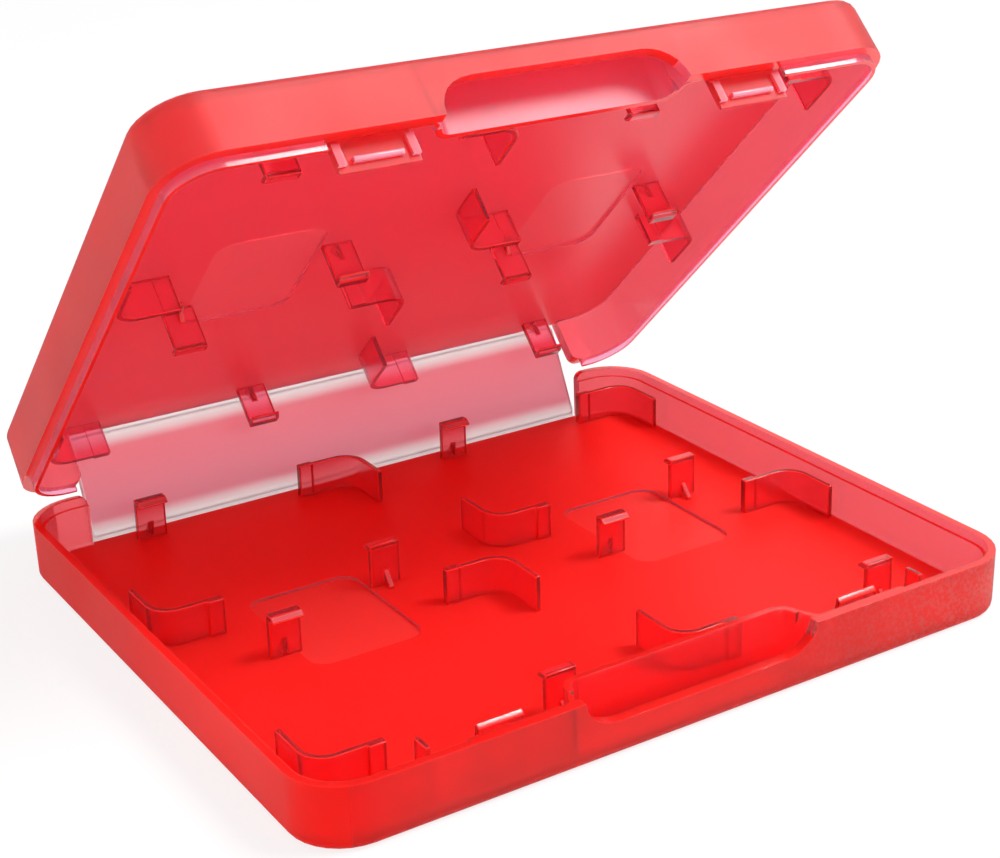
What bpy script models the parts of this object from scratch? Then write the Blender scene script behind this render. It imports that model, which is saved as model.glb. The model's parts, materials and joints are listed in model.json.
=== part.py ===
# Pocket case for eight small game cards and four micro cards, moulded in one piece:
# a lower tray, a spine and a lid tray, joined by two living hinges.
# Origin: middle of the lower tray's underside. X runs along the spine, -Y is the front, Z is up.

import math

import bmesh
import bpy
from mathutils import Vector

MM = 0.001

# Card pockets: two rows of two in each tray, with the case drawn round them
CARD_POCKET_WIDTH = 31.35 * MM
CARD_POCKET_DEPTH = 22.6 * MM
COLUMN_GAP = 4.2 * MM
ROW_GAP = 7.9 * MM
LEFT_MARGIN = 3.85 * MM
RIGHT_MARGIN = 2.25 * MM
FRONT_MARGIN = 7.6 * MM
HINGE_MARGIN = 3.3 * MM

# Tray section, shared by both trays
TRAY_HEIGHT = 5.8 * MM
CORNER_RADIUS = 5.2 * MM
FOOT_RADIUS = 0.75 * MM
OUTER_DRAFT = 0.11 * MM
FLOOR_THICKNESS = 0.7 * MM
FLOOR_FILLET = 0.35 * MM
WALL_THICKNESS = 1.1 * MM
INNER_DRAFT = 0.08 * MM

# Rim joint: a lip on the lid drops into a rebate in the lower tray
CLOSED_RIM_GAP = 0.3 * MM
REBATE_LAND = 0.75 * MM
REBATE_DEPTH = 0.9 * MM
LIP_SIDE_CLEARANCE = 0.2 * MM
LIP_THICKNESS = 0.4 * MM
LIP_HEIGHT = 0.9 * MM
LIP_END_CLEARANCE = 0.3 * MM

# Living hinges and spine
HINGE_INSET = 0.3 * MM
HINGE_FILM_RADIUS = 0.2 * MM
SPINE_FROM_SIDE = 7.3 * MM
SPINE_THICKNESS = 0.85 * MM
SPINE_EDGE_BEVEL = 0.3 * MM
SPINE_END_CLEARANCE = 0.4 * MM
CUTAWAY_CORNER_RADIUS = 0.9 * MM
SPINE_LEAN_BACK = math.radians(24.8)
LID_RISE = math.radians(43.7)

# Gap between separate pieces that meet
SEAT_GAP = 0.3 * MM

# Finger scoops in the two front walls
SCOOP_CORNER_REACH = 3.6 * MM
SCOOP_PANEL_THICKNESS = 0.6 * MM
SCOOP_PANEL_RADIUS = 1.3 * MM
SCOOP_PANEL_SPLAY = 0.5 * MM
LOWER_SCOOP_FROM_TONGUE = 2.9 * MM
LOWER_SCOOP_DEPTH = 2.6 * MM
LOWER_SCOOP_SETBACK = 3.95 * MM
LID_SCOOP_FROM_TONGUE = 2.8 * MM
LID_SCOOP_DEPTH = 3.35 * MM
LID_SCOOP_SETBACK = 3.45 * MM

# Corner guides of the pockets
GUIDE_THICKNESS = 0.55 * MM
GUIDE_TOP = 4.25 * MM
GUIDE_LEG_ALONG_X = 6.32 * MM
GUIDE_LEG_ALONG_Y = 6.2 * MM
GUIDE_CORNER_RADIUS = 2.2 * MM
GUIDE_PAD_WIDTH = 1.6 * MM
GUIDE_PAD_THICKNESS = 0.3 * MM

# Hooked clips that hold a card down
CLIP_WIDTH = 3.1 * MM
CLIP_THICKNESS = 0.6 * MM
CLIP_TOP = 5.05 * MM
CLIP_FROM_END = 8.6 * MM
HOOK_REACH = 0.85 * MM
HOOK_UNDERSIDE = 4.45 * MM
HOOK_NOSE = 0.18 * MM
HOOK_CREST = 0.35 * MM
CLIP_GUSSET_THICKNESS = 0.5 * MM
CLIP_GUSSET_DEPTH = 1.2 * MM
CLIP_GUSSET_TOP = 2.3 * MM

# Shallow recess for a micro card between the two rows
MICRO_WIDTH = 11.3 * MM
MICRO_LENGTH = 15.2 * MM
MICRO_RADIUS = 1.8 * MM
MICRO_DEPTH = 0.3 * MM
MICRO_OFFSET = -0.3 * MM

# Latches: a tongue on the lid slips between the front wall and a catch tab
LATCH_FROM_SIDE = 17.8 * MM
LATCH_CLEARANCE = 0.15 * MM
TONGUE_WIDTH = 7.4 * MM
TONGUE_PLATE = 0.45 * MM
TONGUE_REACH = 2.8 * MM
TONGUE_LEAD_IN = 0.2 * MM
TONGUE_RIB_WIDTH = 0.75 * MM
TONGUE_RIB_DEPTH = 0.4 * MM
TONGUE_RIB_END = 2.25 * MM
SNAP_BEAD_WIDTH = 4.5 * MM
SNAP_BEAD_RADIUS = 0.24 * MM
SNAP_BEAD_FROM_RIM = 1.85 * MM
SNAP_BEAD_PROUD = 0.12 * MM
SNAP_BEAD_WEB = 0.43 * MM
CATCH_RIDGE_WIDTH = 4.3 * MM
CATCH_RIDGE_RADIUS = 0.2 * MM
CATCH_RIDGE_PROUD = 0.16 * MM
CATCH_TAB_WIDTH = 4.3 * MM
CATCH_TAB_THICKNESS = 0.6 * MM
CATCH_GUSSET_WIDTH = 0.6 * MM
CATCH_GUSSET_DEPTH = 0.9 * MM
CATCH_GUSSET_DROP = 0.5 * MM

# Stop ribs that back the lip beside each latch
STOP_RIB_FROM_LATCH = 7.0 * MM
STOP_RIB_THICKNESS = 0.5 * MM
STOP_RIB_NEAR = 1.7 * MM
STOP_RIB_FAR = 3.6 * MM

# Facets
CORNER_STEPS = 8
FOOT_STEPS = 4
ARC_STEPS = 6
HALF_ROUND_STEPS = 8
SHARP_FROM = math.radians(30.0)

# How far a cutter runs past the face it cuts, and a joined shape into its neighbour
OVERRUN = 1.0 * MM
BITE = 0.25 * MM

# Drawn size of the empties that mark the hinge lines
AXIS_DISPLAY_SIZE = 8.0 * MM

# Which way each tray's front wall faces when the case lies open flat
LOWER_FRONT = -1
LID_FRONT = 1

CASE_WIDTH = 2 * CARD_POCKET_WIDTH + COLUMN_GAP + LEFT_MARGIN + RIGHT_MARGIN
CASE_DEPTH = 2 * CARD_POCKET_DEPTH + ROW_GAP + FRONT_MARGIN + HINGE_MARGIN
COLUMN_SPACING = CARD_POCKET_WIDTH + COLUMN_GAP
COLUMN_OFFSET = (LEFT_MARGIN - RIGHT_MARGIN) / 2
ROW_SPACING = CARD_POCKET_DEPTH + ROW_GAP
ROWS_FROM_FRONT = FRONT_MARGIN + CARD_POCKET_DEPTH + ROW_GAP / 2
CLIP_OFFSET = CARD_POCKET_WIDTH / 2 - CLIP_FROM_END
LIP_INSET = REBATE_LAND + LIP_SIDE_CLEARANCE
SPINE_WIDTH = CASE_WIDTH - 2 * SPINE_FROM_SIDE
LATCH_FROM_MIDDLE = CASE_WIDTH / 2 - LATCH_FROM_SIDE
LATCH_ZONE_HALF_WIDTH = LATCH_FROM_MIDDLE + TONGUE_WIDTH / 2 + LATCH_CLEARANCE
LOWER_SCOOP_HALF_WIDTH = LATCH_FROM_MIDDLE - TONGUE_WIDTH / 2 - LOWER_SCOOP_FROM_TONGUE
LID_SCOOP_HALF_WIDTH = LATCH_FROM_MIDDLE - TONGUE_WIDTH / 2 - LID_SCOOP_FROM_TONGUE
STOP_RIB_FROM_MIDDLE = LATCH_FROM_MIDDLE + STOP_RIB_FROM_LATCH
SPINE_HEIGHT = 2 * TRAY_HEIGHT + CLOSED_RIM_GAP - 2 * HINGE_INSET
FILM_REACH = HINGE_FILM_RADIUS + SEAT_GAP
CUTAWAY_HALF_WIDTH = SPINE_WIDTH / 2 + SPINE_END_CLEARANCE
FOOT_OF_FEATURE = FLOOR_THICKNESS + SEAT_GAP
TONGUE_FRONT = WALL_THICKNESS + LATCH_CLEARANCE
TONGUE_BACK = TONGUE_FRONT + TONGUE_RIB_DEPTH + TONGUE_PLATE
CATCH_FRONT = TONGUE_BACK + LATCH_CLEARANCE


def clear_scene():
    for old in list(bpy.data.objects):
        bpy.data.objects.remove(old, do_unlink=True)


def plastic(name, colour, roughness, transmission):
    made = bpy.data.materials.new(name)
    made.use_nodes = True
    shader = made.node_tree.nodes["Principled BSDF"]
    shader.inputs["Base Color"].default_value = (*colour, 1.0)
    shader.inputs["Roughness"].default_value = roughness
    shader.inputs["Metallic"].default_value = 0.0
    shader.inputs["IOR"].default_value = 1.49
    shader.inputs["Transmission Weight"].default_value = transmission
    made.diffuse_color = (*colour, 1.0)
    return made


def arc(centre_x, centre_y, reach_x, reach_y, start, end, steps):
    """Points along part of an ellipse, angles in degrees, both ends included."""
    points = []
    for step in range(steps + 1):
        angle = math.radians(start + (end - start) * step / steps)
        points.append((centre_x + reach_x * math.cos(angle), centre_y + reach_y * math.sin(angle)))
    return points


def rounded_rectangle(half_x, half_y, radius, steps=CORNER_STEPS):
    across = half_x - radius
    along = half_y - radius
    outline = arc(across, -along, radius, radius, -90, 0, steps)
    outline += arc(across, along, radius, radius, 0, 90, steps)
    outline += arc(-across, along, radius, radius, 90, 180, steps)
    outline += arc(-across, -along, radius, radius, 180, 270, steps)
    return outline


def tray_ring(inset, height):
    """The case outline drawn in by inset, at one height."""
    radius = CORNER_RADIUS - inset
    outline = rounded_rectangle(CASE_WIDTH / 2 - inset, CASE_DEPTH / 2 - inset, radius)
    return [Vector((x, y, height)) for x, y in outline]


def loft(name, rings):
    """A closed solid through rings of equal count, capped at both ends."""
    mesh = bpy.data.meshes.new(name)
    shape = bmesh.new()
    rows = [[shape.verts.new(point) for point in ring] for ring in rings]
    shape.faces.new(rows[0])
    shape.faces.new(rows[-1])
    count = len(rows[0])
    for low, high in zip(rows[:-1], rows[1:]):
        for here in range(count):
            after = (here + 1) % count
            shape.faces.new((low[here], low[after], high[after], high[here]))
    bmesh.ops.recalc_face_normals(shape, faces=shape.faces)
    shape.to_mesh(mesh)
    shape.free()
    return placed(name, mesh)


def placed(name, mesh):
    made = bpy.data.objects.new(name, mesh)
    bpy.context.scene.collection.objects.link(made)
    return made


def upright(name, outline, low, high):
    """A plan outline raised from one height to another."""
    rings = [[Vector((x, y, level)) for x, y in outline] for level in (low, high)]
    return loft(name, rings)


def across_y(name, outline, near, far):
    """A front-view outline, drawn in X and Z, run along Y."""
    rings = [[Vector((x, level, z)) for x, z in outline] for level in (near, far)]
    return loft(name, rings)


def across_x(name, outline, near, far):
    """A side-view outline, drawn in Y and Z, run along X."""
    rings = [[Vector((level, y, z)) for y, z in outline] for level in (near, far)]
    return loft(name, rings)


def combine(body, joined=(), removed=()):
    """Joins and then cuts with the given solids, and keeps the result as the body's own mesh."""
    for operation, solids in (("UNION", joined), ("DIFFERENCE", removed)):
        for solid in solids:
            step = body.modifiers.new(solid.name, "BOOLEAN")
            step.operation = operation
            step.solver = "EXACT"
            step.object = solid
            solid.hide_render = True
            solid.display_type = "WIRE"
    bpy.context.view_layer.update()
    graph = bpy.context.evaluated_depsgraph_get()
    result = bpy.data.meshes.new_from_object(body.evaluated_get(graph))
    body.modifiers.clear()
    body.data = result
    for solid in (*joined, *removed):
        bpy.data.objects.remove(solid, do_unlink=True)
    return body


def finish(body, material):
    body.data.materials.clear()
    body.data.materials.append(material)
    body.data.shade_smooth()
    body.data.set_sharp_from_angle(angle=SHARP_FROM)


def behind_front(setback, front):
    """Y of a plane that lies this far behind a tray's front edge."""
    return front * (CASE_DEPTH / 2 - setback)


def outer_rings():
    rings = []
    for step in range(FOOT_STEPS + 1):
        angle = math.pi / 2 * step / FOOT_STEPS
        height = FOOT_RADIUS * (1 - math.cos(angle))
        draft = OUTER_DRAFT * (1 - height / TRAY_HEIGHT)
        rings.append(tray_ring(draft + FOOT_RADIUS * (1 - math.sin(angle)), height))
    rings.append(tray_ring(0.0, TRAY_HEIGHT))
    return rings


def inner_rings(inset):
    """Down the inside of the wall, round the fillet and onto the floor."""
    foot = inset + INNER_DRAFT
    rings = []
    for step in range(FOOT_STEPS + 1):
        angle = math.pi / 2 * step / FOOT_STEPS
        across = foot + FLOOR_FILLET * (1 - math.cos(angle))
        height = FLOOR_THICKNESS + FLOOR_FILLET * (1 - math.sin(angle))
        rings.append(tray_ring(across, height))
    return rings


def scoop_plan(half_width, setback, wall_side, grow, front):
    """Plan of the pocket behind a scoop: straight sides that splay to the wall, round back corners."""
    radius = SCOOP_PANEL_RADIUS + grow
    back = setback + grow
    near = half_width + SCOOP_PANEL_SPLAY + grow
    far = half_width - SCOOP_PANEL_SPLAY + grow
    half = [(near, wall_side)] + arc(far - radius, back - radius, radius, radius, 0, 90, ARC_STEPS)
    outline = half + [(-x, y) for x, y in reversed(half)]
    return [(x, behind_front(y, front)) for x, y in outline]


def scoop_pieces(half_width, depth, setback, front):
    """The block that carries the inner panel, its pocket, and the notch in the front wall."""
    rim = TRAY_HEIGHT
    block_plan = scoop_plan(half_width, setback, WALL_THICKNESS - BITE, SCOOP_PANEL_THICKNESS, front)
    block = upright("scoop_block", block_plan, FLOOR_THICKNESS - BITE, rim)
    pocket_plan = scoop_plan(half_width, setback, WALL_THICKNESS, 0.0, front)
    pocket = upright("scoop_pocket", pocket_plan, FLOOR_THICKNESS, rim + OVERRUN)
    flat = half_width - SCOOP_CORNER_REACH
    corner = arc(flat, rim, SCOOP_CORNER_REACH, depth, -90, 0, ARC_STEPS)
    half = corner + [(half_width, rim + LIP_HEIGHT + OVERRUN)]
    outline = half + [(-x, z) for x, z in reversed(half)]
    outside = behind_front(-OVERRUN, front)
    inside = behind_front(WALL_THICKNESS + (setback - WALL_THICKNESS) / 2, front)
    notch = across_y("scoop_notch", outline, outside, inside)
    return block, pocket, notch


def rear_cutters(front):
    """Opens the back wall for the spine and trims the floor short of the hinge film."""
    rear = -front
    edge = rear * (CASE_DEPTH / 2 - HINGE_INSET - FILM_REACH)
    outside = rear * (CASE_DEPTH / 2 + OVERRUN)
    inside = rear * (CASE_DEPTH / 2 - WALL_THICKNESS - INNER_DRAFT - FLOOR_FILLET - BITE)
    half = CUTAWAY_HALF_WIDTH
    shoulder = TRAY_HEIGHT - CUTAWAY_CORNER_RADIUS
    corner = arc(half + CUTAWAY_CORNER_RADIUS, shoulder, CUTAWAY_CORNER_RADIUS, CUTAWAY_CORNER_RADIUS,
                 180, 90, ARC_STEPS)
    top = TRAY_HEIGHT + LIP_HEIGHT + OVERRUN
    side = [(half, FLOOR_THICKNESS)] + corner + [(half + CUTAWAY_CORNER_RADIUS, top)]
    outline = side + [(-x, z) for x, z in reversed(side)]
    opening = across_y("rear_opening", outline, inside, outside)
    strip = [(-half, edge), (half, edge), (half, outside), (-half, outside)]
    trim = upright("floor_trim", strip, -OVERRUN, FLOOR_THICKNESS + OVERRUN)
    return opening, trim


def column_middle(column):
    return COLUMN_OFFSET + column * COLUMN_SPACING / 2


def pattern_middle(front):
    """Y of the line midway between the two rows of pockets."""
    return behind_front(ROWS_FROM_FRONT, front)


def micro_recesses(front):
    made = []
    for column in (-1, 1):
        outline = rounded_rectangle(MICRO_WIDTH / 2, MICRO_LENGTH / 2, MICRO_RADIUS, ARC_STEPS)
        middle = column_middle(column) + MICRO_OFFSET
        plan = [(x + middle, y + pattern_middle(front)) for x, y in outline]
        made.append(upright("micro_recess", plan, FLOOR_THICKNESS - MICRO_DEPTH, TRAY_HEIGHT))
    return made


def box_behind_front(name, half_width, near, far, low, high, front):
    y_near = behind_front(near, front)
    y_far = behind_front(far, front)
    plan = [(-half_width, y_near), (half_width, y_near), (half_width, y_far), (-half_width, y_far)]
    return upright(name, plan, low, high)


def round_bar(name, middle, length, y, z, radius):
    outline = arc(y, z, radius, radius, 0, 360, 2 * HALF_ROUND_STEPS)[:-1]
    return across_x(name, outline, middle - length / 2, middle + length / 2)


def lower_tray_shell(material):
    front = LOWER_FRONT
    rings = outer_rings()
    rings.append(tray_ring(REBATE_LAND, TRAY_HEIGHT))
    rings.append(tray_ring(REBATE_LAND, TRAY_HEIGHT - REBATE_DEPTH))
    rings.append(tray_ring(WALL_THICKNESS, TRAY_HEIGHT - REBATE_DEPTH))
    rings += inner_rings(WALL_THICKNESS)
    shell = loft("lower_tray_shell", rings)
    full_rim = box_behind_front("full_rim", LATCH_ZONE_HALF_WIDTH, REBATE_LAND - BITE, WALL_THICKNESS,
                                TRAY_HEIGHT - REBATE_DEPTH - BITE, TRAY_HEIGHT, front)
    ridges = []
    ridge_drop = SNAP_BEAD_FROM_RIM - CLOSED_RIM_GAP - SNAP_BEAD_RADIUS - CATCH_RIDGE_RADIUS - LATCH_CLEARANCE
    ridge_setback = WALL_THICKNESS + CATCH_RIDGE_PROUD - CATCH_RIDGE_RADIUS
    for side in (-1, 1):
        ridges.append(round_bar("catch_ridge", side * LATCH_FROM_MIDDLE, CATCH_RIDGE_WIDTH,
                                behind_front(ridge_setback, front), TRAY_HEIGHT - ridge_drop,
                                CATCH_RIDGE_RADIUS))
    block, pocket, notch = scoop_pieces(LOWER_SCOOP_HALF_WIDTH, LOWER_SCOOP_DEPTH,
                                        LOWER_SCOOP_SETBACK, front)
    joined = [full_rim, block, *ridges]
    removed = [pocket, notch, *rear_cutters(front), *micro_recesses(front)]
    combine(shell, joined, removed)
    finish(shell, material)
    return shell


def lid_shell(material):
    front = LID_FRONT
    inner_face = LIP_INSET + LIP_THICKNESS
    crown = TRAY_HEIGHT + LIP_HEIGHT
    rings = outer_rings()
    rings.append(tray_ring(LIP_INSET, TRAY_HEIGHT))
    rings.append(tray_ring(LIP_INSET, crown))
    rings.append(tray_ring(inner_face, crown))
    rings += inner_rings(inner_face)
    shell = loft("lid_shell", rings)
    lip_gap = box_behind_front("lip_gap", LATCH_ZONE_HALF_WIDTH + LIP_END_CLEARANCE, -OVERRUN,
                               inner_face + OVERRUN, TRAY_HEIGHT, crown + OVERRUN, front)
    block, pocket, notch = scoop_pieces(LID_SCOOP_HALF_WIDTH, LID_SCOOP_DEPTH, LID_SCOOP_SETBACK, front)
    removed = [pocket, notch, lip_gap, *rear_cutters(front), *micro_recesses(front)]
    combine(shell, [block], removed)
    finish(shell, material)
    return shell


def spine_plate(material):
    """Flat between the two hinge films, with its inner long edges eased so that it can fold."""
    low = -HINGE_INSET
    high = SPINE_THICKNESS - HINGE_INSET
    start = FILM_REACH
    end = SPINE_HEIGHT - FILM_REACH
    ease = SPINE_EDGE_BEVEL
    outline = [(start, low), (end, low), (end, high - ease), (end - ease, high),
               (start + ease, high), (start, high - ease)]
    spine = across_x("spine", outline, -SPINE_WIDTH / 2, SPINE_WIDTH / 2)
    finish(spine, material)
    return spine


def hinge_film(name, material):
    """The thin web of a living hinge, drawn as a fine bead on the line it bends about."""
    film = round_bar(name, 0.0, SPINE_WIDTH, 0.0, 0.0, HINGE_FILM_RADIUS)
    finish(film, material)
    return film


def guide_mesh():
    """Corner guide drawn about the pocket's middle: one leg along X, one along Y, round between."""
    half = GUIDE_THICKNESS / 2
    corner_x = -CARD_POCKET_WIDTH / 2 - half
    corner_y = -CARD_POCKET_DEPTH / 2 - half
    end_x = corner_x + GUIDE_LEG_ALONG_X
    end_y = corner_y + GUIDE_LEG_ALONG_Y
    turn_x = corner_x + GUIDE_CORNER_RADIUS
    turn_y = corner_y + GUIDE_CORNER_RADIUS
    outside = GUIDE_CORNER_RADIUS + half
    inside = GUIDE_CORNER_RADIUS - half
    pad_y = corner_y - half - GUIDE_PAD_THICKNESS
    outline = [(end_x, corner_y + half), (end_x, pad_y), (end_x - GUIDE_PAD_WIDTH, pad_y),
               (end_x - GUIDE_PAD_WIDTH, corner_y - half)]
    outline += arc(turn_x, turn_y, outside, outside, 270, 180, ARC_STEPS)
    outline += [(corner_x - half, end_y), (corner_x + half, end_y)]
    outline += arc(turn_x, turn_y, inside, inside, 180, 270, ARC_STEPS)
    guide = upright("guide_pattern", outline, FOOT_OF_FEATURE, GUIDE_TOP)
    return taken_mesh(guide)


def clip_mesh():
    """Hooked clip on the pocket's near side, hook towards +Y, with a sloping gusset behind it."""
    inner = -CARD_POCKET_DEPTH / 2
    outer = inner - CLIP_THICKNESS
    tip = inner + HOOK_REACH
    profile = [(outer, FOOT_OF_FEATURE), (inner, FOOT_OF_FEATURE), (inner, HOOK_UNDERSIDE),
               (tip, HOOK_UNDERSIDE), (tip, HOOK_UNDERSIDE + HOOK_NOSE),
               (inner + HOOK_CREST, CLIP_TOP), (outer, CLIP_TOP)]
    clip = across_x("clip_pattern", profile, CLIP_OFFSET - CLIP_WIDTH / 2, CLIP_OFFSET + CLIP_WIDTH / 2)
    inside = outer + CLIP_THICKNESS / 2
    slope = [(inside, FOOT_OF_FEATURE), (outer - CLIP_GUSSET_DEPTH, FOOT_OF_FEATURE),
             (outer, CLIP_GUSSET_TOP), (inside, CLIP_GUSSET_TOP)]
    gusset = across_x("clip_gusset", slope, CLIP_OFFSET - CLIP_GUSSET_THICKNESS / 2,
                      CLIP_OFFSET + CLIP_GUSSET_THICKNESS / 2)
    combine(clip, [gusset])
    return taken_mesh(clip)


def taken_mesh(pattern):
    mesh = pattern.data
    bpy.data.objects.remove(pattern, do_unlink=True)
    return mesh


def pockets(tray, front, rows, parent, origin, material):
    """Two guides and two clips round each card; the second of each is the first turned half round."""
    features = {"guide": guide_mesh(), "clip": clip_mesh()}
    columns = {"left": -1, "right": 1}
    for column_name, column in columns.items():
        for row_name, row in zip(rows, (-1, 1)):
            middle = Vector((column_middle(column), pattern_middle(front) + row * ROW_SPACING / 2, 0.0))
            for feature, mesh in features.items():
                for letter, turn in (("a", 0.0), ("b", math.pi)):
                    piece = placed(f"{tray}_{column_name}_{row_name}_{feature}_{letter}", mesh)
                    finish(piece, material)
                    piece.parent = parent
                    piece.location = origin + middle
                    piece.rotation_euler.z = turn


def catch_tab(name, side, material):
    """Upright tab with a round crest, stiffened by a gusset at each end of its back."""
    front = LOWER_FRONT
    middle = side * LATCH_FROM_MIDDLE
    near = behind_front(CATCH_FRONT, front)
    far = behind_front(CATCH_FRONT + CATCH_TAB_THICKNESS, front)
    radius = CATCH_TAB_THICKNESS / 2
    profile = [(near, FOOT_OF_FEATURE)]
    profile += arc((near + far) / 2, TRAY_HEIGHT - radius, radius, radius, 180, 0, HALF_ROUND_STEPS)
    profile += [(far, FOOT_OF_FEATURE)]
    tab = across_x(name, profile, middle - CATCH_TAB_WIDTH / 2, middle + CATCH_TAB_WIDTH / 2)
    back = behind_front(CATCH_FRONT + CATCH_TAB_THICKNESS + CATCH_GUSSET_DEPTH, front)
    inside = behind_front(CATCH_FRONT + CATCH_TAB_THICKNESS / 2, front)
    gusset_top = TRAY_HEIGHT - CATCH_GUSSET_DROP
    gusset = [(inside, FOOT_OF_FEATURE), (back, FOOT_OF_FEATURE), (far, gusset_top), (inside, gusset_top)]
    gussets = []
    for end in (-1, 1):
        outer = middle + end * CATCH_TAB_WIDTH / 2
        inner = outer - end * CATCH_GUSSET_WIDTH
        gussets.append(across_x("gusset", gusset, min(outer, inner), max(outer, inner)))
    combine(tab, gussets)
    finish(tab, material)
    return tab


def stop_rib(name, side, material):
    middle = side * STOP_RIB_FROM_MIDDLE
    near = behind_front(STOP_RIB_NEAR, LOWER_FRONT)
    far = behind_front(STOP_RIB_FAR, LOWER_FRONT)
    plan = [(middle - STOP_RIB_THICKNESS / 2, near), (middle + STOP_RIB_THICKNESS / 2, near),
            (middle + STOP_RIB_THICKNESS / 2, far), (middle - STOP_RIB_THICKNESS / 2, far)]
    rib = upright(name, plan, FOOT_OF_FEATURE, TRAY_HEIGHT)
    finish(rib, material)
    return rib


def latch_tongue(name, side, material):
    """Springy plate that stands past the lid's rim, with two ribs and a snap bead on its front."""
    front = LID_FRONT
    middle = side * LATCH_FROM_MIDDLE
    left = middle - TONGUE_WIDTH / 2
    right = middle + TONGUE_WIDTH / 2
    plate_front = TONGUE_FRONT + TONGUE_RIB_DEPTH
    top = TRAY_HEIGHT + TONGUE_REACH
    outer = behind_front(plate_front, front)
    inner = behind_front(TONGUE_BACK, front)
    eased = behind_front(TONGUE_BACK - TONGUE_LEAD_IN, front)
    profile = [(outer, FOOT_OF_FEATURE), (outer, top), (eased, top), (inner, top - TONGUE_LEAD_IN),
               (inner, FOOT_OF_FEATURE)]
    tongue = across_x(name, profile, left, right)
    rib_front = behind_front(TONGUE_FRONT, front)
    rib_back = behind_front(plate_front + TONGUE_PLATE / 2, front)
    rib_low = TRAY_HEIGHT + SEAT_GAP
    rib_high = TRAY_HEIGHT + TONGUE_RIB_END
    joined = []
    for start in (left, right - TONGUE_RIB_WIDTH):
        rib = [(rib_front, rib_low), (rib_front, rib_high), (rib_back, rib_high), (rib_back, rib_low)]
        joined.append(across_x("tongue_rib", rib, start, start + TONGUE_RIB_WIDTH))
    bead_front = TONGUE_FRONT - SNAP_BEAD_PROUD
    bead_z = TRAY_HEIGHT + SNAP_BEAD_FROM_RIM
    bead_middle = behind_front(bead_front + SNAP_BEAD_RADIUS, front)
    joined.append(round_bar("snap_bead", middle, SNAP_BEAD_WIDTH, bead_middle, bead_z, SNAP_BEAD_RADIUS))
    web_low = bead_z - SNAP_BEAD_WEB / 2
    web_high = bead_z + SNAP_BEAD_WEB / 2
    web = [(bead_middle, web_low), (bead_middle, web_high), (rib_back, web_high), (rib_back, web_low)]
    joined.append(across_x("bead_web", web, middle - SNAP_BEAD_WIDTH / 2, middle + SNAP_BEAD_WIDTH / 2))
    combine(tongue, joined)
    finish(tongue, material)
    return tongue


def hinge_axis(name, parent, location, angle):
    """An empty on a hinge line, turned about X from the flat case."""
    axis = bpy.data.objects.new(name, None)
    axis.empty_display_size = AXIS_DISPLAY_SIZE
    bpy.context.scene.collection.objects.link(axis)
    axis.parent = parent
    axis.location = location
    axis.rotation_euler.x = angle
    return axis


def build():
    clear_scene()
    tray_plastic = plastic("red_polypropylene", (0.72, 0.02, 0.02), 0.32, 0.35)
    film_plastic = plastic("thin_red_polypropylene", (0.86, 0.28, 0.32), 0.4, 0.5)

    lower_axis = hinge_axis("lower_hinge_axis", None,
                            Vector((0.0, CASE_DEPTH / 2 - HINGE_INSET, HINGE_INSET)),
                            math.pi / 2 - SPINE_LEAN_BACK)
    upper_axis = hinge_axis("upper_hinge_axis", lower_axis, Vector((0.0, SPINE_HEIGHT, 0.0)),
                            math.pi / 2 - LID_RISE + SPINE_LEAN_BACK)

    lower_tray_shell(tray_plastic)
    hinge_film("lower_hinge_film", film_plastic).location = lower_axis.location
    for side_name, side in (("left", -1), ("right", 1)):
        catch_tab(f"lower_{side_name}_catch_tab", side, tray_plastic)
        stop_rib(f"lower_{side_name}_stop_rib", side, tray_plastic)
    pockets("lower", LOWER_FRONT, ("front", "hinge"), None, Vector(), tray_plastic)

    spine_plate(film_plastic).parent = lower_axis
    upper_film = hinge_film("upper_hinge_film", film_plastic)
    upper_film.parent = lower_axis
    upper_film.location = upper_axis.location

    lid_origin = Vector((0.0, CASE_DEPTH / 2 - HINGE_INSET, -HINGE_INSET))
    lid_pieces = [lid_shell(tray_plastic)]
    for side_name, side in (("left", -1), ("right", 1)):
        lid_pieces.append(latch_tongue(f"lid_{side_name}_latch_tongue", side, tray_plastic))
    for piece in lid_pieces:
        piece.parent = upper_axis
        piece.location = lid_origin
    pockets("lid", LID_FRONT, ("hinge", "front"), upper_axis, lid_origin, tray_plastic)


build()
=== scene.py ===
import json
import math

import bmesh
import bpy
from mathutils import Matrix, Vector


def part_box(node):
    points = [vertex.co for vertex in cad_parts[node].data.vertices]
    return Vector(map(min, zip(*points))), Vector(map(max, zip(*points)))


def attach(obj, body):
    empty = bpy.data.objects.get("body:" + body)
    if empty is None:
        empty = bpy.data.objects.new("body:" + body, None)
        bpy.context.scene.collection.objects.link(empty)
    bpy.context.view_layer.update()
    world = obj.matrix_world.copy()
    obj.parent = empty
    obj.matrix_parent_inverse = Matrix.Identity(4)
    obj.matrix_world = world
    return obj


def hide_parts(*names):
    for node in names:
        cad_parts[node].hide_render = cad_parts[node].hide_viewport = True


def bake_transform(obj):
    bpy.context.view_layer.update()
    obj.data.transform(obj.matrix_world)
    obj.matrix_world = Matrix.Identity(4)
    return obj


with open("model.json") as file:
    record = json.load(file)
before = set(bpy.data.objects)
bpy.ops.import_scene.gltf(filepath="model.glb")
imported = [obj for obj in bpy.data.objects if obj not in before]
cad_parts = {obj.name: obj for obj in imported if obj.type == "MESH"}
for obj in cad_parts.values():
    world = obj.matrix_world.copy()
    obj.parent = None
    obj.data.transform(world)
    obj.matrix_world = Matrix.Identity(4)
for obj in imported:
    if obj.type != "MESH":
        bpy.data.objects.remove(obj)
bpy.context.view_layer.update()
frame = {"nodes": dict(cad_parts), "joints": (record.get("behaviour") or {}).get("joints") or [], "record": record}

mm = 0.001
mounts = {mount["name"]: mount for mount in frame["record"]["mounts"]}
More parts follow.
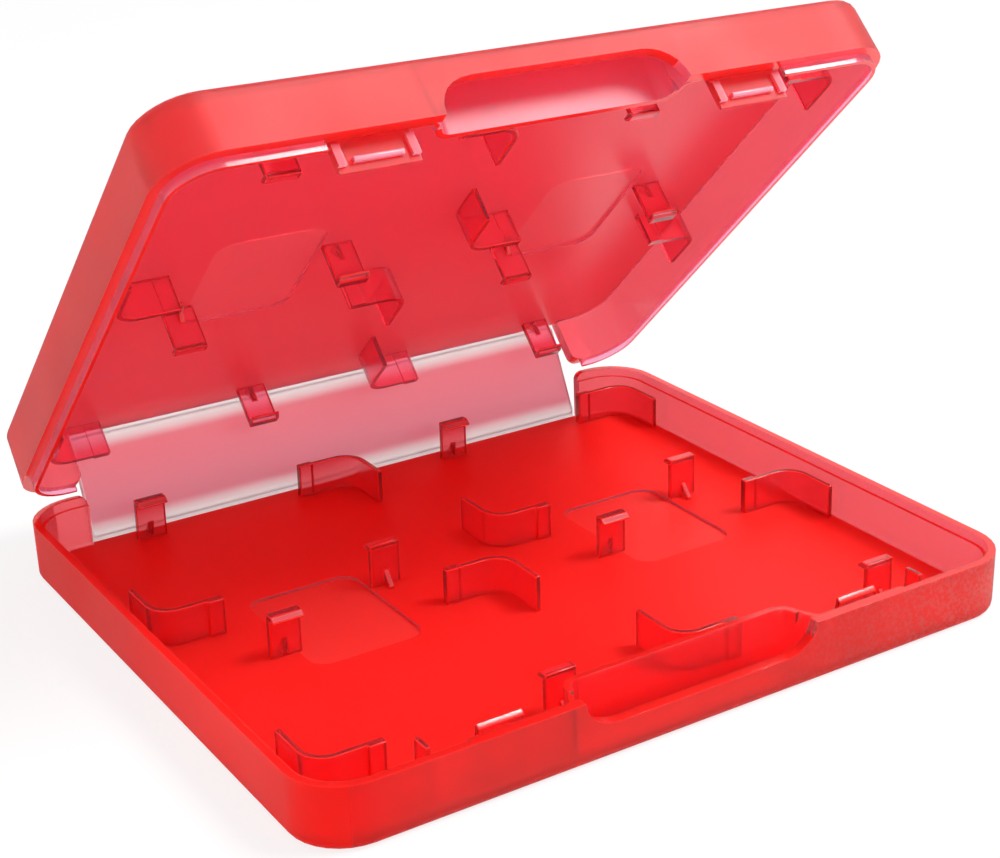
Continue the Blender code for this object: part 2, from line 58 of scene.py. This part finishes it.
joints = {joint["name"]: joint for joint in frame["joints"]}

# each tray is measured as if it lay open on its back, and its place takes that into the scene
lowerHinge = Vector(joints["lower_hinge"]["pos_m"])
upperHinge = Vector(joints["upper_hinge"]["pos_m"])
lidUp = -Vector(mounts["lid_outer_face"]["axis"]).normalized()
lidForward = lidUp.cross(Vector((1, 0, 0)))
lidFoot = upperHinge - lidUp * lowerHinge.z + lidForward * lowerHinge.y
lidPlace = Matrix.Identity(4)
for row in range(3):
    lidPlace[row][1] = lidForward[row]
    lidPlace[row][2] = lidUp[row]
    lidPlace[row][3] = lidFoot[row]
trays = {                               # front is the way along Y to the tray's latch side
    "lower": {"body": "lower_tray", "shell": "lower_tray_shell", "place": Matrix.Identity(4), "front": -1},
    "lid": {"body": "lid", "shell": "lid_shell", "place": lidPlace, "front": 1},
}
spineAlong = (upperHinge - lowerHinge).normalized()
spineInwards = Vector((1, 0, 0)).cross(spineAlong)

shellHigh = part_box("lower_tray_shell")[1]
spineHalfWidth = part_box("spine")[1].x
seatGap = 0.3 * mm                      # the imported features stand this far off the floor
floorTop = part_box("lower_left_front_guide_a")[0].z - seatGap
print("frame loaded:", len(frame["nodes"]), "nodes, floor", round(floorTop / mm, 2), "mm thick")


def linear(hexColour):
    # sRGB hex to the linear colour that the shaders take
    parts = [int(hexColour[place:place + 2], 16) / 255 for place in (1, 3, 5)]
    curve = [part / 12.92 if part <= 0.04045 else ((part + 0.055) / 1.055) ** 2.4 for part in parts]
    return (*curve, 1.0)


def addNode(tree, kind, settings, links):
    node = tree.nodes.new(kind)
    for name, value in settings.items():
        setattr(node, name, value)
    for name, value in links.items():
        socket = node.inputs[name]
        if isinstance(value, bpy.types.NodeSocket):
            tree.links.new(value, socket)
        else:
            socket.default_value = value
    return node


# Injection-moulded polypropylene, dyed red and left translucent. Each layer of it takes green and blue
# out of the light, so one wall against white looks pink and doubled ones go deep red.
resin = {
    "ior": 1.49,                        # typical for polypropylene
    "patchDetail": 2.0, "rippleDetail": 1.0, "grainDetail": 2.0, "glossBand": (0.3, 0.7),
}

# Against the polished side of the mould it is smooth and glossy, and lamps show in it as clean white lines.
polishedLook = {
    "colour": "#FFB0D0", "paler": "#FFBCDC", "patchMm": 18.0,
    "roughness": (0.1, 0.17), "rippleMm": 6.0, "rippleDepthMm": 0.006,
    "grainMm": 0.3, "grainDepthMm": 0.0, "shine": 0.5,
    "transmission": 0.9, "haze": 1.0, "hazeMm": (2.5, 1.0, 1.2),
}
# The curved panel in the lid's finger scoop is silky, so the lamp spreads over it as a soft pink sheen.
scoopLook = dict(
    polishedLook, colour="#FF7490", paler="#FF809C", roughness=(0.36, 0.42), shine=0.08, transmission=0.65)
# The plate of each latch tongue lies close before the front wall, and the two together look plain deep red.
tongueLook = dict(scoopLook, colour="#FF4448", paler="#FF5054", roughness=(0.5, 0.6), shine=0.02)
# The two ribs stand proud of that plate and show as paler, matt bars; their paler colour is a painted highlight
# for the light they catch.
ribLook = dict(polishedLook, colour="#FF6070", paler="#FF6C7C", roughness=(0.52, 0.58), transmission=0.3)
# The snap bead is rubbed smooth by its catch. Its pale colour, also on the ribs' slopes, is a painted highlight,
# which shows as a pale line along the tongue.
beadLook = dict(ribLook, colour="#FFA0B0", paler="#FFACBC", roughness=(0.26, 0.32), shine=0.6)
# The sloping tips of the lower clips face the light and look pinker than their stems.
tipLook = dict(tongueLook, colour="#FF6470", paler="#FF707C")
# The guides and clips are polished and clear, and a little deeper as they are seen against the floor.
clearLook = dict(polishedLook, colour="#FF86A0", paler="#FF92AC", transmission=0.92)
deepClearLook = dict(clearLook, colour="#FF727C", paler="#FF7E88", hazeMm=(2.5, 0.5, 0.5), shine=0.15)
# The floors have a fine satin finish that blurs what they mirror.
satinLook = dict(
    polishedLook, colour="#F6506A", paler="#F65A74", roughness=(0.28, 0.36), shine=0.3, transmission=0.7,
    hazeMm=(2.5, 0.5, 0.6))
deepSatinLook = dict(
    satinLook, colour="#EC1C18", paler="#EC2420", roughness=(0.4, 0.5), shine=0.08, transmission=0.15,
    hazeMm=(1.5, 0.3, 0.3))
# The card recesses are the thinnest part of each floor, and so a shade paler.
recessLook = dict(satinLook, colour="#F66A80", paler="#F6768C")
deepRecessLook = dict(deepSatinLook, colour="#FF302C", paler="#FF3834")
# Against the spark-eroded side of the mould it takes a fine matt grain that looks frosted.
# That grain is about 0.05 mm in the real surface, and is drawn coarser so that it shows.
frostedLook = {
    "colour": "#FF3838", "paler": "#FF4444", "patchMm": 12.0,
    "roughness": (0.5, 0.6), "rippleMm": 5.0, "rippleDepthMm": 0.006,
    "grainMm": 0.3, "grainDepthMm": 0.006, "shine": 0.06,
    "transmission": 0.8, "haze": 1.0, "hazeMm": (2.5, 0.4, 0.4),
}
# The lower tray's finishes are mostly deeper reds than the lid's. At its left end it is painted deeper and purer
# still, as painted light for how light falls on its left walls, and the right-hand end of its front is scuffed
# from handling, which leaves fine pale specks.
# painted light: a deeper, purer red laid over the left end of the lower tray's outer walls
leftLightMark = {"colour": "#FF140C", "share": 0.8, "origin": (0, 0, 0), "along": (-1, 0, 0), "bandMm": (24.0, 36.0)}
scuffMark = {
    "colour": "#E8B0A8", "share": 0.8, "origin": (0, 0, 0), "along": (1, 0, 0), "bandMm": (0.0, 38.0),
    "speckMm": 0.3, "speckDetail": 4.0, "speckRoughness": 0.65, "speckBand": (0.45, 0.7),
}
deepFrostedLook = dict(frostedLook, colour="#FF3C36", paler="#FF4842")
leftFrostedLook = dict(deepFrostedLook, transmission=0.4, marks=[leftLightMark])
scuffedLook = dict(deepFrostedLook, marks=[leftLightMark, scuffMark])
# At edges and rims the eye looks along the plastic, not across it, so they are its purest and deepest red.
edgeLook = dict(polishedLook, colour="#FF2420", paler="#FF302C", transmission=0.2)
deepEdgeLook = dict(edgeLook, colour="#FF1A14", paler="#FF261E")
# The spine is thin enough to pass most of the light behind it. It carries painted shade, a duskier pink towards
# the lower tray, and whitens at both folds.
# painted shade: a duskier pink laid over the spine, growing from 2 to 9 mm below the upper fold
spineShadeMark = {
    "colour": "#E890A2", "share": 0.8, "bandMm": (2.0, 9.0),
    "origin": tuple(upperHinge), "along": tuple(-spineAlong),
}
foldMark = {"colour": "#FFF4F4", "share": 0.9, "bandMm": (-2.4, -1.1)}
lowerFoldMark = dict(foldMark, origin=tuple(lowerHinge), along=tuple(-spineAlong))
upperFoldMark = dict(foldMark, origin=tuple(upperHinge), along=tuple(spineAlong))
spineLook = {
    "colour": "#FF8494", "paler": "#FF94A2", "patchMm": 9.0,
    "roughness": (0.28, 0.32), "rippleMm": 8.0, "rippleDepthMm": 0.003,
    "grainMm": 0.3, "grainDepthMm": 0.0, "shine": 0.3,
    "transmission": 0.75, "haze": 1.0, "hazeMm": (2.0, 1.0, 1.0),
    "marks": [spineShadeMark, lowerFoldMark, upperFoldMark],
}
# Polypropylene folded many times over one line goes white along it.
foldLook = {
    "colour": "#FFF0F0", "paler": "#FFFAFA", "patchMm": 2.5,
    "roughness": (0.4, 0.5), "rippleMm": 1.5, "rippleDepthMm": 0.006,
    "grainMm": 0.2, "grainDepthMm": 0.004, "shine": 0.4,
    "transmission": 0.8, "haze": 1.0, "hazeMm": (2.5, 2.2, 2.2),
}


def marked(tree, place, colour, mark):
    # lays a mark's colour over the one given, growing across a band along one direction
    apart = addNode(tree, "ShaderNodeVectorMath", {"operation": "SUBTRACT"}, {0: place, 1: mark["origin"]})
    along = addNode(tree, "ShaderNodeVectorMath", {"operation": "DOT_PRODUCT"}, {
        0: apart.outputs["Vector"], 1: mark["along"]})
    start, end = mark["bandMm"]
    cover = addNode(tree, "ShaderNodeMapRange", {"interpolation_type": "SMOOTHSTEP"}, {
        "Value": along.outputs["Value"], "From Min": start * mm, "From Max": end * mm,
        "To Min": 0.0, "To Max": mark["share"]}).outputs["Result"]
    if "speckMm" in mark:
        noise = addNode(tree, "ShaderNodeTexNoise", {}, {
            "Vector": place, "Scale": 1 / (mark["speckMm"] * mm), "Detail": mark["speckDetail"],
            "Roughness": mark["speckRoughness"]})
        bare, covered = mark["speckBand"]
        specks = addNode(tree, "ShaderNodeMapRange", {}, {
            "Value": noise.outputs["Fac"], "From Min": bare, "From Max": covered})
        cover = addNode(tree, "ShaderNodeMath", {"operation": "MULTIPLY"}, {
            0: cover, 1: specks.outputs["Result"]}).outputs[0]
    mixed = addNode(tree, "ShaderNodeMix", {"data_type": "RGBA"}, {
        0: cover, 6: colour, 7: linear(mark["colour"])})
    return mixed.outputs[2]


def polypropylene(name, look):
    made = bpy.data.materials.new(name)
    made.use_nodes = True
    tree = made.node_tree
    shader = tree.nodes["Principled BSDF"]
    place = addNode(tree, "ShaderNodeTexCoord", {}, {}).outputs["Object"]
    # broad patches vary the dye and the gloss a little, as melt cools unevenly in the mould
    patches = addNode(tree, "ShaderNodeTexNoise", {}, {
        "Vector": place, "Scale": 1 / (look["patchMm"] * mm), "Detail": resin["patchDetail"]})
    colour = addNode(tree, "ShaderNodeMix", {"data_type": "RGBA"}, {
        0: patches.outputs["Fac"], 6: linear(look["colour"]), 7: linear(look["paler"])}).outputs[2]
    for mark in look.get("marks", ()):
        colour = marked(tree, place, colour, mark)
    tree.links.new(colour, shader.inputs["Base Color"])
    smooth, rough = look["roughness"]
    lowest, highest = resin["glossBand"]
    gloss = addNode(tree, "ShaderNodeMapRange", {}, {
        "Value": patches.outputs["Fac"], "From Min": lowest, "From Max": highest,
        "To Min": smooth, "To Max": rough})
    tree.links.new(gloss.outputs["Result"], shader.inputs["Roughness"])
    # slow ripples bend what the plastic mirrors, and the mould's grain lies over them
    ripple = addNode(tree, "ShaderNodeTexNoise", {}, {
        "Vector": place, "Scale": 1 / (look["rippleMm"] * mm), "Detail": resin["rippleDetail"]})
    rippleBump = addNode(tree, "ShaderNodeBump", {}, {
        "Height": ripple.outputs["Fac"], "Distance": look["rippleDepthMm"] * mm})
    grain = addNode(tree, "ShaderNodeTexNoise", {}, {
        "Vector": place, "Scale": 1 / (look["grainMm"] * mm), "Detail": resin["grainDetail"]})
    grainBump = addNode(tree, "ShaderNodeBump", {}, {
        "Height": grain.outputs["Fac"], "Distance": look["grainDepthMm"] * mm,
        "Normal": rippleBump.outputs["Normal"]})
    tree.links.new(grainBump.outputs["Normal"], shader.inputs["Normal"])
    shader.inputs["IOR"].default_value = resin["ior"]
    shader.inputs["Specular IOR Level"].default_value = look["shine"]
    shader.inputs["Transmission Weight"].default_value = look["transmission"]
    shader.inputs["Subsurface Weight"].default_value = look["haze"]
    shader.inputs["Subsurface Radius"].default_value = look["hazeMm"]
    shader.inputs["Subsurface Scale"].default_value = mm
    return made


looks = {
    "polished": polishedLook, "scoop": scoopLook, "tongue": tongueLook, "rib": ribLook, "bead": beadLook,
    "clip_tip": tipLook, "clear": clearLook, "deep_clear": deepClearLook, "satin": satinLook,
    "deep_satin": deepSatinLook, "thin_satin": recessLook, "thin_deep": deepRecessLook, "frosted": frostedLook,
    "deep_frosted": deepFrostedLook, "left_frosted": leftFrostedLook, "scuffed_frosted": scuffedLook,
    "eased_edge": edgeLook, "deep_eased_edge": deepEdgeLook, "thin": spineLook, "fold_whitened": foldLook,
}
plastics = {surface: polypropylene(f"{surface}_polypropylene", look) for surface, look in looks.items()}
print("materials ready:", len(plastics))

# the plastic on each part of a tray, the last one also on its eased edges
trayFinishes = {
    "walls": {"lower": "polished", "lid": "polished"},
    "left": {"lower": "left_frosted", "lid": "frosted"},
    "front": {"lower": "scuffed_frosted", "lid": "frosted"},
    "sides": {"lower": "deep_frosted", "lid": "frosted"},
    "underside": {"lower": "deep_frosted", "lid": "frosted"},
    "floor": {"lower": "deep_satin", "lid": "satin"},
    "recess": {"lower": "thin_deep", "lid": "thin_satin"},
    "scoop": {"lower": "deep_clear", "lid": "scoop"},
    "rim": {"lower": "deep_eased_edge", "lid": "eased_edge"},
}
finishOrder = list(trayFinishes)
# the same for a feature: its body first, what finishClip or finishTongue picks out next, its eased edges last
featureFinishes = {
    "lower": {
        "clip": ("deep_clear", "clip_tip", "deep_eased_edge"),
        "other": ("deep_clear", "deep_eased_edge"),
    },
    "lid": {
        "clip": ("clear", "clear", "eased_edge"),
        "tongue": ("tongue", "rib", "bead", "eased_edge"),
        "other": ("clear", "eased_edge"),
    },
}

packedMesh = {"weldMm": 0.001, "flatDeg": 1.0}
mouldedEdges = {"shellRadiusMm": 0.14, "featureRadiusMm": 0.1, "segments": 2, "sharpDeg": 32, "flatWeight": 100}


def weldedMesh(node):
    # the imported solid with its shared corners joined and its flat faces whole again
    shape = bmesh.new()
    shape.from_mesh(frame["nodes"][node].data)
    bmesh.ops.remove_doubles(shape, verts=shape.verts, dist=packedMesh["weldMm"] * mm)
    flat = math.radians(packedMesh["flatDeg"])
    bmesh.ops.dissolve_limit(shape, angle_limit=flat, verts=shape.verts, edges=shape.edges)
    return shape


def addPiece(name, shape, surfaces, radiusMm):
    mesh = bpy.data.meshes.new(name)
    shape.to_mesh(mesh)
    shape.free()
    piece = bpy.data.objects.new(name, mesh)
    bpy.context.scene.collection.objects.link(piece)
    for surface in surfaces:
        mesh.materials.append(plastics[surface])
    mesh.shade_smooth()
    sharp = math.radians(mouldedEdges["sharpDeg"])
    if radiusMm:
        edges = piece.modifiers.new("moulded edges", "BEVEL")
        edges.width = radiusMm * mm
        edges.segments = mouldedEdges["segments"]
        edges.limit_method = "ANGLE"
        edges.angle_limit = sharp
        edges.material = len(surfaces) - 1
        normals = piece.modifiers.new("flat faces stay flat", "WEIGHTED_NORMAL")
        normals.mode = "FACE_AREA"
        normals.weight = mouldedEdges["flatWeight"]
        normals.keep_sharp = True
    else:
        mesh.set_sharp_from_angle(angle=sharp)
    return piece


# sizes and cosines that tell one part of a tray from another
trayForm = {
    "cornerMm": 5.2, "skinMm": 0.4, "scoopHalfWideMm": 13.6, "scoopDeepMm": 5.0,
    "floorWithinMm": 0.05, "recessDeepMm": 0.1, "rimAboveMm": 1.0,
    "level": 0.9, "rim": 0.5, "under": 0.3, "left": 0.3, "front": 0.7,
}


def finishOf(face, front, toTray):
    # which part of the tray a face belongs to
    centre = toTray @ face.calc_center_median()
    facing = (toTray.to_3x3() @ face.normal).normalized()
    aboveFloorMm = (centre.z - floorTop) / mm
    if facing.z < -trayForm["level"]:
        return "underside"
    if facing.z > trayForm["level"] and aboveFloorMm < trayForm["floorWithinMm"]:
        return "recess" if aboveFloorMm < -trayForm["recessDeepMm"] else "floor"
    if facing.z > trayForm["rim"] and aboveFloorMm > trayForm["rimAboveMm"]:
        return "rim"
    beyond = Vector((abs(centre.x) - shellHigh.x, abs(centre.y) - shellHigh.y))
    corner = trayForm["cornerMm"] * mm
    skin = trayForm["skinMm"] * mm
    bend = Vector((max(beyond.x + corner, 0), max(beyond.y + corner, 0)))
    outside = max(beyond) > -skin or bend.length > corner - skin
    outwards = facing.x * centre.x + facing.y * centre.y > 0
    if facing.z < -trayForm["under"] or (outside and outwards and facing.z < trayForm["level"]):
        if facing.x < -trayForm["left"]:
            return "left"
        return "front" if facing.y * front > trayForm["front"] else "sides"
    acrossScoop = abs(centre.x) < trayForm["scoopHalfWideMm"] * mm
    intoScoop = beyond.y > -trayForm["scoopDeepMm"] * mm
    return "scoop" if acrossScoop and intoScoop and centre.y * front > 0 else "walls"


def addShell(side, tray):
    shape = weldedMesh(tray["shell"])
    toTray = tray["place"].inverted()
    for face in shape.faces:
        face.material_index = finishOrder.index(finishOf(face, tray["front"], toTray))
    surfaces = [finish[side] for finish in trayFinishes.values()]
    piece = addPiece(f"{side}_shell_moulding", shape, surfaces, mouldedEdges["shellRadiusMm"])
    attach(piece, tray["body"])
    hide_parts(tray["shell"])


crestSlope = {"facing": (0, -0.67, 0.74), "depthMm": 0.18}


def slopeCrest(shape):
    # a catch tab's crest is eased to a flat slope on the side where the tongue slides in
    facing = Vector(crestSlope["facing"]).normalized()
    reach = max(vertex.co.dot(facing) for vertex in shape.verts) - crestSlope["depthMm"] * mm
    parts = [*shape.verts, *shape.edges, *shape.faces]
    cut = bmesh.ops.bisect_plane(shape, geom=parts, plane_co=facing * reach, plane_no=facing, clear_outer=True)
    rim = [item for item in cut["geom_cut"] if isinstance(item, bmesh.types.BMEdge)]
    for face in bmesh.ops.contextual_create(shape, geom=rim)["faces"]:
        face.material_index = 1


tongueForm = {"plate": 0.97, "square": 0.99, "proudMm": 0.05}


def finishTongue(shape):
    # the plate comes first, then the flat faces of the ribs, then the slopes of ribs and snap bead
    fronts = [face for face in shape.faces if face.normal.y > tongueForm["plate"]]
    plate = max(fronts, key=lambda face: face.calc_area()).calc_center_median().y
    for face in shape.faces:
        proud = face.calc_center_median().y > plate + tongueForm["proudMm"] * mm
        flat = max(abs(face.normal.x), abs(face.normal.y)) > tongueForm["square"]
        face.material_index = (1 if flat else 2) if proud else 0


clipForm = {"steepest": 0.3, "flattest": 0.95}


def finishClip(shape):
    # its sloping faces come second, the hook's tip above all
    for face in shape.faces:
        face.material_index = int(clipForm["steepest"] < face.normal.z < clipForm["flattest"])


footing = {
    "straightMm": 0.22, "flareMm": 0.16, "sunkMm": 0.06,
    "undersideMm": 0.05, "level": 0.9, "upright": 0.3, "sameWay": 0.99,
}


def plantFoot(shape):
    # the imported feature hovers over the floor: it is drawn down into it with a small flare at its root
    low = min(vertex.co.z for vertex in shape.verts) + footing["undersideMm"] * mm
    downwards = [face for face in shape.faces if face.normal.z < -footing["level"]]
    underside = [face for face in downwards if face.calc_center_median().z < low]
    for vertex in {vertex for face in underside for vertex in face.verts}:
        vertex.co.z = floorTop + footing["straightMm"] * mm
    grown = bmesh.ops.extrude_face_region(shape, geom=underside)["geom"]
    bmesh.ops.delete(shape, geom=underside, context="FACES_ONLY")
    feet = [item for item in grown if isinstance(item, bmesh.types.BMVert)]
    shape.normal_update()
    moves = {}
    for vertex in feet:
        ways = []
        for side in [face.normal for face in vertex.link_faces if abs(face.normal.z) < footing["upright"]]:
            way = Vector((side.x, side.y, 0)).normalized()
            if way.length and all(way.dot(other) < footing["sameWay"] for other in ways):
                ways.append(way)
        moves[vertex] = sum(ways, Vector()) * footing["flareMm"] * mm
    for vertex, move in moves.items():
        vertex.co.z = floorTop - footing["sunkMm"] * mm
        vertex.co += move


def addFeature(node, side, tray):
    # each guide, clip, tab, rib and tongue is shaped in its tray's own coordinates, then set in place
    shape = weldedMesh(node)
    shape.transform(tray["place"].inverted())
    shape.normal_update()
    plantFoot(shape)
    if "catch_tab" in node:
        slopeCrest(shape)
    bmesh.ops.recalc_face_normals(shape, faces=shape.faces)
    shape.normal_update()
    kind = next((kind for kind in ("clip", "tongue") if kind in node), "other")
    if kind == "tongue":
        finishTongue(shape)
    if kind == "clip":
        finishClip(shape)
    shape.transform(tray["place"])
    piece = addPiece(f"{node}_moulding", shape, featureFinishes[side][kind], mouldedEdges["featureRadiusMm"])
    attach(piece, tray["body"])
    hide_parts(node)


for side, tray in trays.items():
    addShell(side, tray)
    for node in sorted(frame["nodes"]):
        if node.startswith(side) and "shell" not in node and "film" not in node:
            addFeature(node, side, tray)
    print(side, "tray moulded")

spineForm = {"stripMm": 1.1}


def addSpine():
    # the strip that runs into each fold is as white as the fold
    shape = weldedMesh("spine")
    for hinge, way in ((lowerHinge, spineAlong), (upperHinge, -spineAlong)):
        parts = [*shape.verts, *shape.edges, *shape.faces]
        strip = hinge + way * spineForm["stripMm"] * mm
        bmesh.ops.bisect_plane(shape, geom=parts, plane_co=strip, plane_no=way)
        for face in shape.faces:
            if (face.calc_center_median() - strip).dot(way) < 0:
                face.material_index = 1
    spine = addPiece("spine_moulding", shape, ("thin", "fold_whitened"), mouldedEdges["featureRadiusMm"])
    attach(spine, "spine")
    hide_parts("spine")


# thin web either side of each hinge line, overlapping the tray's floor and the spine's edge
hingeWeb = {"thicknessMm": 0.3, "reachMm": 0.75, "bendReachMm": 0.5, "steps": 10, "columns": 24}


def addWeb(name, film, hinge, fromWay, fromUp, toWay, toUp):
    # the section is swept across the hinge line, from one neighbour's middle plane to the other's
    shape = bmesh.new()
    half = hingeWeb["thicknessMm"] * mm / 2
    reach = hingeWeb["reachMm"] * mm
    steps, columns = hingeWeb["steps"], hingeWeb["columns"]
    rows = []
    for step in range(steps + 1):
        share = step / steps
        start = hinge - fromWay * reach * (1 - share) ** 2
        middle = start + toWay * reach * share ** 2
        up = fromUp.lerp(toUp, share).normalized()
        below, above = middle - up * half, middle + up * half
        line = []
        for column in range(columns + 1):
            across = Vector((spineHalfWidth * (2 * column / columns - 1), 0, 0))
            line.append((shape.verts.new(below + across), shape.verts.new(above + across)))
        rows.append(line)
    for near, far in zip(rows, rows[1:]):
        for column in range(columns):
            for side in (0, 1):
                shape.faces.new((
                    near[column][side], near[column + 1][side], far[column + 1][side], far[column][side]))
        for column in (0, columns):
            shape.faces.new((near[column][0], near[column][1], far[column][1], far[column][0]))
    for line in (rows[0], rows[-1]):
        for column in range(columns):
            shape.faces.new((line[column][0], line[column + 1][0], line[column + 1][1], line[column][1]))
    bmesh.ops.recalc_face_normals(shape, faces=shape.faces)
    web = addPiece(name, shape, ("fold_whitened",), 0)
    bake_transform(web)
    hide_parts(film)


addSpine()
addWeb("lower_hinge_web", "lower_hinge_film", lowerHinge,
       Vector((0, 1, 0)), Vector((0, 0, 1)), spineAlong, spineInwards)
addWeb("upper_hinge_web", "upper_hinge_film", upperHinge,
       spineAlong, spineInwards, lidForward, lidUp)
print("spine and hinge webs made")

# pale table under plain soft light, brighter from the left than from the right
studio = {
    "tableMetres": 1.6, "tableColour": "#F8F7F6", "tableRoughness": 0.6, "tableWhiteShare": 0.8,
    "tableDropMm": 0.02, "worldColour": "#FFFFFF", "worldStrengths": (0.9, 0.36),
    "keyWatts": 3.8, "keyMetres": 0.27, "keyPlace": (0.32, -0.172, 0.541), "keyTarget": (0.0, 0.0, 0.02),
}


def addKeyLight():
    lamp = bpy.data.lights.new("key", "AREA")
    lamp.shape = "DISK"
    lamp.size = studio["keyMetres"]
    lamp.energy = studio["keyWatts"]
    holder = bpy.data.objects.new("key", lamp)
    holder.location = studio["keyPlace"]
    towards = Vector(studio["keyTarget"]) - Vector(studio["keyPlace"])
    holder.rotation_mode = "QUATERNION"
    holder.rotation_quaternion = towards.to_track_quat("-Z", "Y")
    bpy.context.scene.collection.objects.link(holder)


def seenDirectly(tree):
    # 1 for what the camera sees straight, mirrored or through the plastic
    rays = addNode(tree, "ShaderNodeLightPath", {}, {})
    either = addNode(tree, "ShaderNodeMath", {"operation": "MAXIMUM"}, {
        0: rays.outputs["Is Camera Ray"], 1: rays.outputs["Is Glossy Ray"]})
    return addNode(tree, "ShaderNodeMath", {"operation": "MAXIMUM"}, {
        0: either.outputs[0], 1: rays.outputs["Is Transmission Ray"]}).outputs[0]


def addTable():
    # painted white board, helped by a share of plain white so that only the case's shadow shows on it
    shape = bmesh.new()
    half = studio["tableMetres"] / 2
    height = -studio["tableDropMm"] * mm
    corners = [shape.verts.new((x * half, y * half, height)) for x, y in ((-1, -1), (1, -1), (1, 1), (-1, 1))]
    shape.faces.new(corners)
    surface = bpy.data.materials.new("painted_table")
    surface.use_nodes = True
    tree = surface.node_tree
    shader = tree.nodes["Principled BSDF"]
    shader.inputs["Base Color"].default_value = linear(studio["tableColour"])
    shader.inputs["Roughness"].default_value = studio["tableRoughness"]
    share = addNode(tree, "ShaderNodeMath", {"operation": "MULTIPLY"}, {
        0: seenDirectly(tree), 1: studio["tableWhiteShare"]})
    white = addNode(tree, "ShaderNodeEmission", {}, {"Color": (1, 1, 1, 1), "Strength": 1.0})
    mixed = addNode(tree, "ShaderNodeMixShader", {}, {
        0: share.outputs[0], 1: shader.outputs["BSDF"], 2: white.outputs["Emission"]})
    tree.links.new(mixed.outputs["Shader"], tree.nodes["Material Output"].inputs["Surface"])
    mesh = bpy.data.meshes.new("table")
    shape.to_mesh(mesh)
    shape.free()
    mesh.materials.append(surface)
    table = bpy.data.objects.new("table", mesh)
    bpy.context.scene.collection.objects.link(table)


def addSky():
    # plain white where it is seen directly, and dimmer as a light, most of all from the right
    world = bpy.data.worlds.new("studio_white")
    world.use_nodes = True
    sky = world.node_tree
    background = sky.nodes["Background"]
    direction = addNode(sky, "ShaderNodeTexCoord", {}, {}).outputs["Generated"]
    sideways = addNode(sky, "ShaderNodeSeparateXYZ", {}, {"Vector": direction}).outputs["X"]
    leftward, rightward = studio["worldStrengths"]
    level = addNode(sky, "ShaderNodeMapRange", {}, {
        "Value": sideways, "From Min": -1.0, "From Max": 1.0, "To Min": leftward, "To Max": rightward})
    strength = addNode(sky, "ShaderNodeMapRange", {}, {
        "Value": seenDirectly(sky), "To Min": level.outputs["Result"], "To Max": 1.0})
    background.inputs["Color"].default_value = linear(studio["worldColour"])
    sky.links.new(strength.outputs["Result"], background.inputs["Strength"])
    bpy.context.scene.world = world


# the camera solved from the straight edges of the trays in the photograph
photoView = {
    "place": (-0.0907, -0.1493, 0.0867),
    "right": (0.8282, -0.5603, -0.0143), "forward": (0.5257, 0.7853, -0.3272),
    "sensorMm": 36.0, "lensMm": 71.98, "shift": (-0.0801, -0.1024), "nearMetres": 0.01,
}


def addCamera():
    camera = bpy.data.objects.new("camera", bpy.data.cameras.new("camera"))
    right = Vector(photoView["right"]).normalized()
    forward = Vector(photoView["forward"]).normalized()
    up = right.cross(forward).normalized()
    turn = Matrix((right, up, -forward)).transposed().to_4x4()
    camera.matrix_world = Matrix.Translation(photoView["place"]) @ turn
    camera.data.sensor_width = photoView["sensorMm"]
    camera.data.lens = photoView["lensMm"]
    camera.data.shift_x, camera.data.shift_y = photoView["shift"]
    camera.data.clip_start = photoView["nearMetres"]
    bpy.context.scene.collection.objects.link(camera)
    bpy.context.scene.camera = camera
    bpy.context.scene.view_settings.view_transform = "Standard"


addTable()
addKeyLight()
addSky()
addCamera()
print("studio ready")
